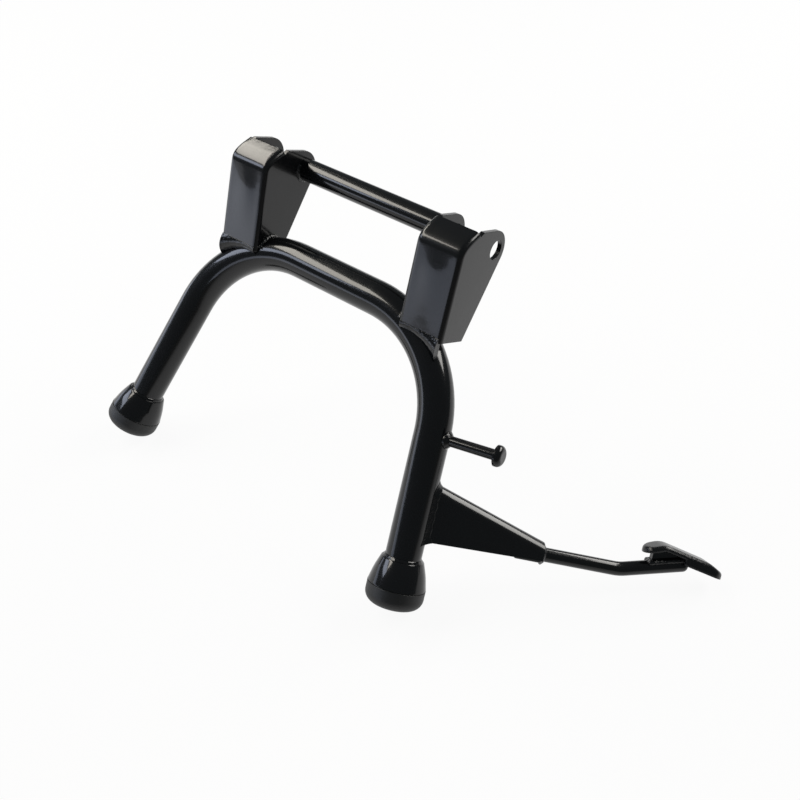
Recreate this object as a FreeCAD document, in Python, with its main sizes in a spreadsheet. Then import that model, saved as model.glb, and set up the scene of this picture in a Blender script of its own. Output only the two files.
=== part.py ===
import FreeCAD, Part
import math
import os

import Sketcher
from FreeCAD import Placement, Rotation, Vector

# Motorcycle centre stand, in millimetres.
# One tube is bent to an arch with two splayed legs. Two folded sheet brackets carry the pivot bore,
# a pivot tube joins them, each leg ends in a bell and a dished sole, and the left-hand leg of the
# bike carries a spring post and a foot pedal. Everything is arc welded and painted black.
#
# The stand is drawn in its own upright frame, with the legs' plane vertical: X runs along the pivot
# axis towards the pedal, Y to the rear of the bike and Z up. Every piece is then turned about the
# pivot axis, legs forward, so that both soles stand on a floor and the tread stays just clear of it.

SIZES = [
    ("lean_angle", 35.2, "how far the legs lean from upright, feet forward"),
    ("tube_od", 31.8, "main tube, outer diameter"),
    ("tube_wall", 2.6, "main tube, wall"),
    ("tube_setback", 7.3, "main tube's plane, in front of the pivot axis"),
    ("crossbar_drop", 77.9, "crossbar's axis, below the pivot axis"),
    ("half_span", 129.5, "middle to where crossbar and leg axes would cross"),
    ("bend_radius", 102.5, "centreline radius of the two large bends"),
    ("splay_angle", 11.05, "legs' splay from vertical"),
    ("leg_length", 194.8, "crossing point to the bell's upper edge, along the leg"),
    ("bracket_inner", 84.0, "middle to a bracket's inner face"),
    ("bracket_width", 45.0, "bracket, over both flanges"),
    ("sheet", 4.0, "bracket sheet"),
    ("sheet_bend", 4.6, "outer radius of the flange bends"),
    ("tab_bend", 9.0, "outer radius of the bend between web and tab"),
    ("bend_reach", 51.8, "tab bend, in front of the pivot axis"),
    ("bend_drop", 14.3, "tab bend, below the pivot axis"),
    ("tab_reach", 38.7, "tab's end, in front of the pivot axis"),
    ("tab_rise", 7.5, "tab's end, above the pivot axis"),
    ("ear_reach", 16.5, "ear's corner, behind the pivot axis"),
    ("ear_rise", 22.0, "ear's corner, above the pivot axis"),
    ("ear_round", 19.0, "ear's corner radius"),
    ("web_proud", 3.4, "web's outer face, in front of the main tube at its foot"),
    ("web_lap", 9.9, "web's foot, below the crossbar's axis"),
    ("flange_lap", 3.7, "flange's rear foot, below the crossbar's axis"),
    ("bolt_bore", 17.0, "pivot bore, in the flanges and the pivot tube"),
    ("pivot_od", 21.0, "pivot tube, outer diameter"),
    ("socket_depth", 9.0, "leg's end, inside the bell"),
    ("bell_lip", 1.9, "bell's wall at its upper edge"),
    ("bell_collar", 3.0, "bell's straight collar"),
    ("bell_height", 24.0, "bell, along the leg"),
    ("bell_foot_radius", 25.2, "bell, outer radius at its lower edge"),
    ("bell_wall", 2.5, "bell's wall at its lower edge"),
    ("sole_radius", 25.8, "sole, outer radius"),
    ("sole_height", 18.0, "sole, along the leg"),
    ("sole_round", 10.0, "sole, radius of the lower edge"),
    ("sole_wall", 3.0, "sole's wall"),
    ("post_offset", 1.5, "spring post, below the start of the straight leg"),
    ("post_dia", 9.4, "spring post, shaft diameter"),
    ("post_reach", 61.2, "leg axis to the underside of the post's head"),
    ("head_dia", 18.4, "post's head, diameter"),
    ("head_height", 6.2, "post's head, height"),
    ("head_round", 4.6, "post's head, radius of the dome's edge"),
    ("arm_lift", 26.4, "pedal arm's axis, above the bell's upper edge"),
    ("swing_angle", 37.2, "pedal arm, turned to the rear about the leg"),
    ("arm_dia", 12.7, "pedal arm, diameter"),
    ("arm_straight", 186.5, "leg axis to the start of the arm's first bend"),
    ("arm_bend", 40.0, "centreline radius of the arm's bends"),
    ("arm_climb", 14.6, "slope of the arm's climbing part"),
    ("arm_end", 253.0, "leg axis to the arm's end"),
    ("arm_nose", 5.0, "rounding of the arm's end"),
    ("gusset_sheet", 3.0, "gusset sheet"),
    ("gusset_bend", 5.0, "outer radius of the gusset's folds"),
    ("gusset_root", 47.4, "gusset's upper edge at the leg's axis, above the arm's axis"),
    ("gusset_length", 119.0, "leg axis to the gusset's outer end"),
    ("gusset_tip", 10.8, "gusset's upper edge at its outer end, above the arm's axis"),
    ("gusset_skirt", 3.0, "gusset's lower edge, below the arm's axis"),
    ("tread_width", 21.0, "tread, across the arm, with round ends"),
    ("tread_sheet", 3.0, "tread plate"),
    ("tread_start", 209.0, "leg axis to the tread's inner end"),
    ("tread_start_rise", 24.8, "tread's inner end, above the arm's axis"),
    ("tread_crest", 226.0, "leg axis to the tread's crest"),
    ("tread_crest_rise", 31.2, "tread's crest, above the arm's axis"),
    ("tread_knee", 270.5, "leg axis to the tread's outer bend"),
    ("tread_knee_rise", 22.3, "tread's outer bend, above the arm's axis"),
    ("tread_end", 286.2, "leg axis to the tread's outer end"),
    ("tread_end_rise", 14.4, "tread's outer end, above the arm's axis"),
    ("rim_end_rise", 9.2, "rim's lower edge at the outer end, above the arm's axis"),
    ("rim_start", 246.0, "leg axis to the start of the tread's deep rim"),
    ("rim_start_rise", 16.7, "deep rim's lower edge at its start, above the arm's axis"),
    ("rim_shallow", 5.0, "height of the tread with its shallow rim"),
    ("plan_margin", 4.0, "tread's blank, past the slot's ends"),
    ("rim_round", 3.4, "outer radius between the tread's top and its rim"),
    ("crest_bend", 20.0, "outer radius of the tread's crest"),
    ("knee_bend", 28.0, "outer radius of the tread's outer bend"),
    ("rib_sheet", 6.0, "rib between arm and tread"),
    ("rib_length", 27.0, "rib, along the arm"),
    ("rib_setback", 8.0, "rib's outer edge, from the arm's end"),
    ("skirt_bead", 24.0, "length of the beads along the gusset's lower edge"),
    ("weld_fine", 1.9, "radius of the beads along the gusset"),
    ("weld_small", 2.4, "radius of the small weld beads"),
    ("weld_medium", 3.2, "radius of the bead at the web's inner end and at the post"),
    ("weld_large", 6.8, "radius of the bead at the web's outer end"),
]

doc = FreeCAD.newDocument("centre_stand")
sheet = doc.addObject("Spreadsheet::Sheet", "Sizes")
size = {}
for row, (alias, value, words) in enumerate(SIZES, start=1):
    sheet.set("A%d" % row, words)
    sheet.set("B%d" % row, str(value))
    sheet.setAlias("B%d" % row, alias)
    size[alias] = value
doc.recompute()

# Values worked out from the sizes, shared by several pieces.
# Expressions name the cells, and the numbers beside them serve placements and pick edges.
QUARTER_TURN = 90.0
TURN = QUARTER_TURN - size["splay_angle"]
TANGENT_RUN = "Sizes.bend_radius * tan((90 - Sizes.splay_angle) / 2)"
tangent_run = size["bend_radius"] * math.tan(math.radians(TURN / 2))
tube_radius = size["tube_od"] / 2
straight_half = size["half_span"] - tangent_run
splay = math.radians(size["splay_angle"])
bend_centre = Vector(straight_half, -size["tube_setback"], -size["crossbar_drop"] - size["bend_radius"])
leg_start = Vector(
    straight_half + size["bend_radius"] * math.cos(splay),
    -size["tube_setback"],
    bend_centre.z + size["bend_radius"] * math.sin(splay),
)
leg_straight = size["leg_length"] - tangent_run
GUSSET_WIDTH = "(Sizes.arm_dia + 2 * Sizes.gusset_sheet)"
gusset_width = size["arm_dia"] + 2 * size["gusset_sheet"]

# The pivot tube is welded on its lower side only.
PIVOT_WELD_ARC = 200

STAND = Placement(Vector(0, 0, 0), Rotation(Vector(1, 0, 0), -size["lean_angle"]))


def leg_point(side, distance):
    """A point on a leg's axis, at a distance below the start of its straight part."""
    return Vector(
        side * (leg_start.x + distance * math.sin(splay)),
        leg_start.y,
        leg_start.z - distance * math.cos(splay),
    )


def place(piece, local=Placement()):
    """Put a piece, drawn in a local frame of the upright stand, into the leaned stand."""
    piece.Placement = STAND.multiply(local)
    return piece


def foot_frame(side):
    """Origin at the bell's upper edge, Z down the leg."""
    angle = 180.0 - side * size["splay_angle"]
    return Placement(leg_point(side, leg_straight), Rotation(Vector(0, 1, 0), angle))


def outward_frame(distance, swing):
    """Origin on the pedal side's leg axis, X outward and square to the leg, Z up the leg."""
    tilt = Rotation(Vector(0, 1, 0), -size["splay_angle"])
    turn = Rotation(Vector(0, 0, 1), swing)
    return Placement(leg_point(1, distance), tilt.multiply(turn))


# Helpers for bodies, sketches and features.

def new_body(name):
    body = doc.addObject("PartDesign::Body", name)
    body.Label = name
    return body


def new_sketch(body, name, role, offset=None):
    """A sketch on one of the body's own origin planes, moved along its normal by an expression."""
    plane = [item for item in body.Origin.OriginFeatures if item.Role == role][0]
    sketch = body.newObject("Sketcher::SketchObject", name)
    sketch.AttachmentSupport = [(plane, "")]
    sketch.MapMode = "FlatFace"
    if offset:
        sketch.setExpression("AttachmentOffset.Base.z", offset)
    return sketch


def bind(sketch, constraint, expression):
    index = sketch.addConstraint(constraint)
    sketch.setExpression("Constraints[%d]" % index, expression)


def polygon(sketch, corners):
    """A closed outline whose corners are pairs of expressions, drawn first on a ring of any size."""
    count = len(corners)
    ring = [2 * math.pi * k / count for k in range(count)]
    points = [Vector(math.cos(angle), math.sin(angle), 0) * tube_radius for angle in ring]
    for k in range(count):
        sketch.addGeometry(Part.LineSegment(points[k], points[(k + 1) % count]), False)
    for k in range(count):
        sketch.addConstraint(Sketcher.Constraint("Coincident", k, 2, (k + 1) % count, 1))
    for k, (across, up) in enumerate(corners):
        bind(sketch, Sketcher.Constraint("DistanceX", -1, 1, k, 1, points[k].x), across)
        bind(sketch, Sketcher.Constraint("DistanceY", -1, 1, k, 1, points[k].y), up)
    doc.recompute()


def circle(sketch, across, up, radius):
    index = sketch.addGeometry(Part.Circle(Vector(1, 1, 0), Vector(0, 0, 1), 5), False)
    bind(sketch, Sketcher.Constraint("DistanceX", -1, 1, index, 3, 1), across)
    bind(sketch, Sketcher.Constraint("DistanceY", -1, 1, index, 3, 1), up)
    bind(sketch, Sketcher.Constraint("Radius", index, 5), radius)
    doc.recompute()


def pad(body, sketch, length, midplane=False):
    feature = body.newObject("PartDesign::Pad", sketch.Name + "_pad")
    feature.Profile = sketch
    if midplane:
        feature.SideType = "Symmetric"
    feature.setExpression("Length", length)
    doc.recompute()
    return feature


def revolve(body, sketch):
    feature = body.newObject("PartDesign::Revolution", sketch.Name + "_turned")
    feature.Profile = sketch
    feature.ReferenceAxis = (sketch, ["V_Axis"])
    feature.Angle = 360
    doc.recompute()
    return feature


def pick_edges(feature, test):
    return ["Edge%d" % (k + 1) for k, edge in enumerate(feature.Shape.Edges) if test(edge)]


def pick_faces(feature, test):
    return ["Face%d" % (k + 1) for k, face in enumerate(feature.Shape.Faces) if test(face)]


def fillet(body, base, edges, radius):
    feature = body.newObject("PartDesign::Fillet", base.Name + "_round")
    feature.Base = (base, edges)
    feature.setExpression("Radius", radius)
    doc.recompute()
    return feature


def shell(body, base, open_faces, wall):
    """Keep a wall inside the faces that stay, and open the named ones."""
    feature = body.newObject("PartDesign::Thickness", base.Name + "_wall")
    feature.Base = (base, open_faces)
    feature.setExpression("Value", wall)
    feature.Reversed = True
    feature.Mode = "Skin"
    feature.Join = "Intersection"
    doc.recompute()
    return feature


def trim(name, base, tools):
    """An upright base less each upright tool in turn. The last cut carries the name."""
    for k, tool in enumerate(tools):
        cut = doc.addObject("Part::Cut", name if k == len(tools) - 1 else "%s_trim_%d" % (name, k + 1))
        cut.Base = base
        cut.Tool = tool
        base = cut
    doc.recompute()
    base.Label = name
    return place(base)


def upright(piece):
    """A copy of a leaned piece's shape, back in the upright stand."""
    shape = piece.Shape.copy()
    shape.Placement = STAND.inverse().multiply(shape.Placement)
    return shape


def along(edge, axis):
    """True for a straight edge that runs along an axis."""
    if edge.Curve.TypeId != "Part::GeomLine":
        return False
    return abs(abs(edge.Curve.Direction.dot(axis)) - 1) < 1e-6


def near(point, target, slack=0.05):
    return (point - target).Length < slack


# Main tube: half of the arch is swept from the middle of the crossbar to a foot, then mirrored.

def bent_tube(name, hollow):
    body = new_body(name)
    path = new_sketch(body, name + "_path", "XZ_Plane", "Sizes.tube_setback")
    drop = -size["crossbar_drop"]
    bend_top = Vector(straight_half, drop, 0)
    leg_top = Vector(leg_start.x, leg_start.z, 0)
    foot = leg_point(1, leg_straight + size["socket_depth"])
    middle_turn = math.radians(TURN / 2)
    bend_middle = Vector(
        straight_half + size["bend_radius"] * math.sin(middle_turn),
        drop - size["bend_radius"] * (1 - math.cos(middle_turn)),
        0,
    )
    bar = path.addGeometry(Part.LineSegment(Vector(0, drop, 0), bend_top), False)
    bend = path.addGeometry(Part.Arc(bend_top, bend_middle, leg_top), False)
    leg = path.addGeometry(Part.LineSegment(leg_top, Vector(foot.x, foot.z, 0)), False)
    # An arc's start is its end point in the clockwise direction, so the ends are read back.
    start = 1 if near(path.getPoint(bend, 1), bend_top) else 2
    path.addConstraint(Sketcher.Constraint("Horizontal", bar))
    path.addConstraint(Sketcher.Constraint("PointOnObject", bar, 1, -2))
    path.addConstraint(Sketcher.Constraint("Tangent", bar, 2, bend, start))
    path.addConstraint(Sketcher.Constraint("Tangent", bend, 3 - start, leg, 1))
    bind(path, Sketcher.Constraint("DistanceY", -1, 1, bar, 1, drop), "-Sizes.crossbar_drop")
    bind(path, Sketcher.Constraint("DistanceX", bar, 1, bar, 2, straight_half),
         "Sizes.half_span - " + TANGENT_RUN)
    bind(path, Sketcher.Constraint("Radius", bend, size["bend_radius"]), "Sizes.bend_radius")
    bind(path, Sketcher.Constraint("DistanceX", leg, 1, leg, 2, 10.0),
         "(Sizes.leg_length + Sizes.socket_depth - " + TANGENT_RUN + ") * sin(Sizes.splay_angle)")
    bind(path, Sketcher.Constraint("DistanceY", leg, 2, leg, 1, 10.0),
         "(Sizes.leg_length + Sizes.socket_depth - " + TANGENT_RUN + ") * cos(Sizes.splay_angle)")
    doc.recompute()
    ring = new_sketch(body, name + "_section", "YZ_Plane")
    circle(ring, "-Sizes.tube_setback", "-Sizes.crossbar_drop", "Sizes.tube_od / 2")
    if hollow:
        circle(ring, "-Sizes.tube_setback", "-Sizes.crossbar_drop", "Sizes.tube_od / 2 - Sizes.tube_wall")
    sweep = body.newObject("PartDesign::AdditivePipe", name + "_half")
    sweep.Profile = ring
    sweep.Spine = (path, ["Edge1", "Edge2", "Edge3"])
    doc.recompute()
    mirror = body.newObject("PartDesign::Mirrored", name + "_both")
    mirror.Originals = [sweep]
    mirror.MirrorPlane = ([item for item in body.Origin.OriginFeatures if item.Role == "YZ_Plane"][0], [""])
    body.Tip = mirror
    doc.recompute()
    return body


# Bracket: a folded channel, open to the rear and below, with its top folded back as a tab.

def folded_bracket(name, inner_edge):
    body = new_body(name)
    outline = new_sketch(body, name + "_outline", "YZ_Plane", inner_edge)
    polygon(outline, [
        ("-(Sizes.tube_setback + Sizes.tube_od / 2 + Sizes.web_proud)",
         "-(Sizes.crossbar_drop + Sizes.web_lap)"),
        ("-Sizes.bend_reach", "-Sizes.bend_drop"),
        ("-Sizes.tab_reach", "Sizes.tab_rise"),
        ("Sizes.ear_reach", "Sizes.ear_rise"),
        ("Sizes.tube_od / 2 - Sizes.tube_setback", "-(Sizes.crossbar_drop + Sizes.flange_lap)"),
    ])
    block = pad(body, outline, "Sizes.bracket_width")
    cross = Vector(1, 0, 0)

    def at_corner(reach, rise):
        def test(edge):
            middle = edge.CenterOfMass
            return along(edge, cross) and abs(middle.y - reach) < 0.01 and abs(middle.z - rise) < 0.01
        return test

    ear = fillet(body, block, pick_edges(block, at_corner(size["ear_reach"], size["ear_rise"])),
                 "Sizes.ear_round")
    bend = fillet(body, ear, pick_edges(ear, at_corner(-size["bend_reach"], -size["bend_drop"])),
                  "Sizes.tab_bend")
    foot_reach = -(size["tube_setback"] + tube_radius + size["web_proud"])
    foot = Vector(0, foot_reach, -(size["crossbar_drop"] + size["web_lap"]))
    web = (Vector(0, -size["bend_reach"], -size["bend_drop"]) - foot).normalize()

    def on_web_side(edge):
        middle = edge.CenterOfMass
        middle.x = 0
        return along(edge, web) and (middle - foot).cross(web).Length < 0.01

    folds = fillet(body, bend, pick_edges(bend, on_web_side), "Sizes.sheet_bend")

    def opened(face):
        if face.Surface.TypeId == "Part::GeomCylinder":
            return abs(face.Surface.Radius - size["ear_round"]) < 0.01
        if face.Surface.TypeId != "Part::GeomPlane":
            return False
        normal = face.normalAt(0, 0)
        return abs(normal.x) < 0.5 and normal.dot(Vector(0, -1, 0)) < 0.6

    shell(body, folds, pick_faces(folds, opened), "Sizes.sheet")
    bore = new_sketch(body, name + "_bore", "YZ_Plane")
    circle(bore, "0", "0", "Sizes.bolt_bore / 2")
    hole = body.newObject("PartDesign::Pocket", name + "_bore_cut")
    hole.Profile = bore
    hole.Type = "ThroughAll"
    hole.SideType = "Symmetric"
    doc.recompute()
    return body


def turned(name, corners, rounds=(), sweep=360):
    """A body of revolution about its own Z axis. Rounds are pairs of an edge test and a radius."""
    body = new_body(name)
    outline = new_sketch(body, name + "_outline", "XZ_Plane")
    polygon(outline, corners)
    feature = revolve(body, outline)
    feature.Angle = sweep
    doc.recompute()
    for test, radius in rounds:
        feature = fillet(body, feature, pick_edges(feature, test), radius)
    return body


def rim(radius, height):
    """Test for a circular edge about the local Z axis."""
    def test(edge):
        if edge.Curve.TypeId != "Part::GeomCircle":
            return False
        return abs(edge.Curve.Radius - radius) < 0.02 and abs(edge.Curve.Center.z - height) < 0.02
    return test


# Weld beads run along free curves over two or more pieces, so they're swept in code.

def bead(stations, local=Placement()):
    """A solid swept through stations of a point and a radius."""
    points = [local.multVec(point) for point, radius in stations]
    curve = Part.BSplineCurve()
    curve.interpolate(points)
    chord = points[-1] - points[0]
    aside = min((Vector(1, 0, 0), Vector(0, 1, 0), Vector(0, 0, 1)), key=lambda axis: abs(axis.dot(chord)))
    rings = []
    for point, (_, radius) in zip(points, stations):
        tangent = curve.tangent(curve.parameter(point))[0]
        ring = Part.Wire(Part.makeCircle(radius))
        ring.Placement = Placement(point, Rotation(aside, Vector(), tangent, "ZXY"))
        rings.append(ring)
    return Part.makeLoft(rings, True)


def straight_bead(corners, radius, local=Placement()):
    """A bead of one radius along straight runs between corners, with round ends."""
    points = [local.multVec(corner) for corner in corners]
    shape = Part.makeSphere(radius, points[0])
    for start, end in zip(points, points[1:]):
        run = end - start
        shape = shape.fuse(Part.makeCylinder(radius, run.Length, start, run))
        shape = shape.fuse(Part.makeSphere(radius, end))
    return shape


def weld(name, beads, neighbours):
    """One weld of beads run together, less the upright pieces that it joins."""
    shape = beads[0]
    for extra in beads[1:]:
        shape = shape.fuse(extra)
    for piece in neighbours:
        shape = shape.cut(piece)
    feature = doc.addObject("Part::Feature", name)
    feature.Label = name
    feature.Shape = max(shape.Solids, key=lambda solid: solid.Volume)
    return place(feature)


# Main tube and brackets.

tube_envelope = bent_tube("tube_envelope", False)
main_tube = place(bent_tube("main_tube", True))

brackets = {}
for side, name in ((1, "left"), (-1, "right")):
    inner_edge = "Sizes.bracket_inner" if side > 0 else "-(Sizes.bracket_inner + Sizes.bracket_width)"
    blank = folded_bracket(name + "_bracket_blank", inner_edge)
    brackets[side] = trim(name + "_bracket", blank, [tube_envelope])

# Pivot tube between the brackets.

pivot_tube = new_body("pivot_tube")
pivot_ring = new_sketch(pivot_tube, "pivot_ring", "YZ_Plane")
circle(pivot_ring, "0", "0", "Sizes.pivot_od / 2")
circle(pivot_ring, "0", "0", "Sizes.bolt_bore / 2")
pad(pivot_tube, pivot_ring, "2 * Sizes.bracket_inner", midplane=True)
place(pivot_tube)

# Feet: a bell over the leg's end and a dished sole under it.

for side, name in ((1, "left"), (-1, "right")):
    frame = foot_frame(side)
    bell = turned(name + "_foot_bell", [
        ("Sizes.tube_od / 2", "0"),
        ("Sizes.tube_od / 2 + Sizes.bell_lip", "0"),
        ("Sizes.tube_od / 2 + Sizes.bell_lip", "Sizes.bell_collar"),
        ("Sizes.bell_foot_radius", "Sizes.bell_height"),
        ("Sizes.bell_foot_radius - Sizes.bell_wall", "Sizes.bell_height"),
        ("Sizes.tube_od / 2", "2 * Sizes.bell_collar"),
    ])
    place(bell, frame)
    sole_depth = size["bell_height"] + size["sole_height"]
    sole = turned(name + "_foot_sole", [
        ("Sizes.sole_radius - Sizes.sole_wall", "Sizes.bell_height"),
        ("Sizes.sole_radius", "Sizes.bell_height"),
        ("Sizes.sole_radius", "Sizes.bell_height + Sizes.sole_height"),
        ("0", "Sizes.bell_height + Sizes.sole_height"),
        ("0", "Sizes.bell_height + Sizes.sole_height - Sizes.sole_wall"),
        ("Sizes.sole_radius - Sizes.sole_wall", "Sizes.bell_height + Sizes.sole_height - Sizes.sole_wall"),
    ], [
        (rim(size["sole_radius"], sole_depth), "Sizes.sole_round"),
        (rim(size["sole_radius"] - size["sole_wall"], sole_depth - size["sole_wall"]),
         "Sizes.sole_round - Sizes.sole_wall"),
    ])
    place(sole, frame)
    ring = turned(name + "_foot_weld", [
        ("Sizes.tube_od / 2", "0"),
        ("Sizes.tube_od / 2 + Sizes.bell_lip - 0.3", "0"),
        ("Sizes.tube_od / 2 + 0.7", "-Sizes.weld_small + 0.6"),
        ("Sizes.tube_od / 2", "-Sizes.weld_small"),
    ])
    place(ring, frame)

# Spring post on the pedal side's leg, square to it and pointing away from the other leg.

post_local = Placement(leg_point(1, size["post_offset"]), Rotation(Vector(0, 1, 0), TURN))
post_blank = turned("spring_post_blank", [
    ("0", "Sizes.tube_od / 4"),
    ("Sizes.post_dia / 2", "Sizes.tube_od / 4"),
    ("Sizes.post_dia / 2", "Sizes.post_reach"),
    ("Sizes.head_dia / 2", "Sizes.post_reach"),
    ("Sizes.head_dia / 2", "Sizes.post_reach + Sizes.head_height"),
    ("0", "Sizes.post_reach + Sizes.head_height"),
], [(rim(size["head_dia"] / 2, size["post_reach"] + size["head_height"]), "Sizes.head_round")])
post_blank.Placement = post_local
spring_post = trim("spring_post", post_blank, [tube_envelope])
post_ring = turned("spring_post_ring", [
    ("Sizes.post_dia / 2", "Sizes.tube_od / 2 - 2"),
    ("Sizes.post_dia / 2 + Sizes.weld_medium", "Sizes.tube_od / 2 - 2"),
    ("Sizes.post_dia / 2 + Sizes.weld_medium", "Sizes.tube_od / 2 + 0.3"),
    ("Sizes.post_dia / 2 + 1.4", "Sizes.tube_od / 2 + 2"),
    ("Sizes.post_dia / 2", "Sizes.tube_od / 2 + Sizes.weld_medium"),
])
post_ring.Placement = post_local
trim("spring_post_weld", post_ring, [tube_envelope])

# Pedal: a folded gusset over a round arm, then the tread plate on a rib.

pedal_local = outward_frame(leg_straight - size["arm_lift"], size["swing_angle"])

gusset_blank = new_body("pedal_gusset_blank")
gusset_outline = new_sketch(gusset_blank, "gusset_outline", "XZ_Plane")
polygon(gusset_outline, [
    ("0", "Sizes.gusset_root"),
    ("Sizes.gusset_length", "Sizes.gusset_tip"),
    ("Sizes.gusset_length", "-Sizes.gusset_skirt"),
    ("0", "-Sizes.gusset_skirt"),
])
gusset_block = pad(gusset_blank, gusset_outline, GUSSET_WIDTH, midplane=True)
top_run = Vector(size["gusset_length"], 0, size["gusset_tip"] - size["gusset_root"]).normalize()
gusset_folds = fillet(gusset_blank, gusset_block,
                      pick_edges(gusset_block, lambda edge: along(edge, top_run)), "Sizes.gusset_bend")
shell(gusset_blank, gusset_folds, pick_faces(
    gusset_folds, lambda face: face.Surface.TypeId == "Part::GeomPlane"
    and (abs(face.normalAt(0, 0).x) > 0.9 or face.normalAt(0, 0).z < -0.9)), "Sizes.gusset_sheet")
gusset_blank.Placement = pedal_local
pedal_gusset = trim("pedal_gusset", gusset_blank, [tube_envelope])

arm_blank = new_body("pedal_arm_blank")
arm_path = new_sketch(arm_blank, "arm_path", "XZ_Plane")
climb = math.radians(size["arm_climb"])
arm_turn = Vector(size["arm_straight"], 0, 0)


def on_arm_bend(angle):
    """The point of the arm's bend where its slope has reached an angle."""
    return arm_turn + Vector(math.sin(angle), 1 - math.cos(angle), 0) * size["arm_bend"]


climb_start = on_arm_bend(climb)


def arm_height(reach):
    """Height of the climbing part's axis over the straight part's."""
    return climb_start.y + (reach - climb_start.x) * math.tan(climb)


arm_tip = Vector(size["arm_end"], arm_height(size["arm_end"]), 0)
root_line = arm_path.addGeometry(Part.LineSegment(Vector(0, 0, 0), arm_turn), False)
arm_arc = arm_path.addGeometry(Part.Arc(arm_turn, on_arm_bend(climb / 2), climb_start), False)
climb_line = arm_path.addGeometry(Part.LineSegment(climb_start, arm_tip), False)
arc_start = 1 if near(arm_path.getPoint(arm_arc, 1), arm_turn) else 2
arm_path.addConstraint(Sketcher.Constraint("Coincident", -1, 1, root_line, 1))
arm_path.addConstraint(Sketcher.Constraint("Horizontal", root_line))
arm_path.addConstraint(Sketcher.Constraint("Tangent", root_line, 2, arm_arc, arc_start))
arm_path.addConstraint(Sketcher.Constraint("Tangent", arm_arc, 3 - arc_start, climb_line, 1))
bind(arm_path, Sketcher.Constraint("Distance", root_line, size["arm_straight"]), "Sizes.arm_straight")
bind(arm_path, Sketcher.Constraint("Radius", arm_arc, size["arm_bend"]), "Sizes.arm_bend")
bind(arm_path, Sketcher.Constraint("Angle", climb_line, climb), "Sizes.arm_climb * 1 deg")
bind(arm_path, Sketcher.Constraint("DistanceX", -1, 1, climb_line, 2, size["arm_end"]), "Sizes.arm_end")
doc.recompute()
arm_ring = new_sketch(arm_blank, "arm_section", "YZ_Plane")
circle(arm_ring, "0", "0", "Sizes.arm_dia / 2")
arm_sweep = arm_blank.newObject("PartDesign::AdditivePipe", "arm_sweep")
arm_sweep.Profile = arm_ring
arm_sweep.Spine = (arm_path, ["Edge%d" % (k + 1) for k in range(3)])
doc.recompute()
arm_nose = fillet(arm_blank, arm_sweep, pick_edges(
    arm_sweep, lambda edge: edge.Curve.TypeId == "Part::GeomCircle" and edge.Closed
    and near(edge.Curve.Center, Vector(arm_tip.x, 0, arm_tip.y))), "Sizes.arm_nose")
arm_blank.Placement = pedal_local
pedal_arm = trim("pedal_arm", arm_blank, [tube_envelope])

# Tread: the outline is padded, folded at two corners and kept as a plate along its upper faces.

CREST_SLOPE = "(Sizes.tread_crest_rise - Sizes.tread_knee_rise) / (Sizes.tread_knee - Sizes.tread_crest)"
START_SLOPE = "(Sizes.tread_crest_rise - Sizes.tread_start_rise) / (Sizes.tread_crest - Sizes.tread_start)"
END_SLOPE = "(Sizes.tread_knee_rise - Sizes.tread_end_rise) / (Sizes.tread_end - Sizes.tread_knee)"
RIM_SLOPE = "(Sizes.rim_start_rise - Sizes.rim_end_rise) / (Sizes.tread_end - Sizes.rim_start)"
SHALLOW_RIM = "Sizes.tread_crest_rise - Sizes.rim_shallow"
SIDE_START = "Sizes.tread_start - Sizes.plan_margin"
SIDE_END = "Sizes.tread_end + Sizes.plan_margin"


def corner_edge(reach, rise):
    def test(edge):
        middle = edge.CenterOfMass
        return along(edge, Vector(0, 1, 0)) and abs(middle.x - reach) < 0.01 and abs(middle.z - rise) < 0.01
    return test


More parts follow.
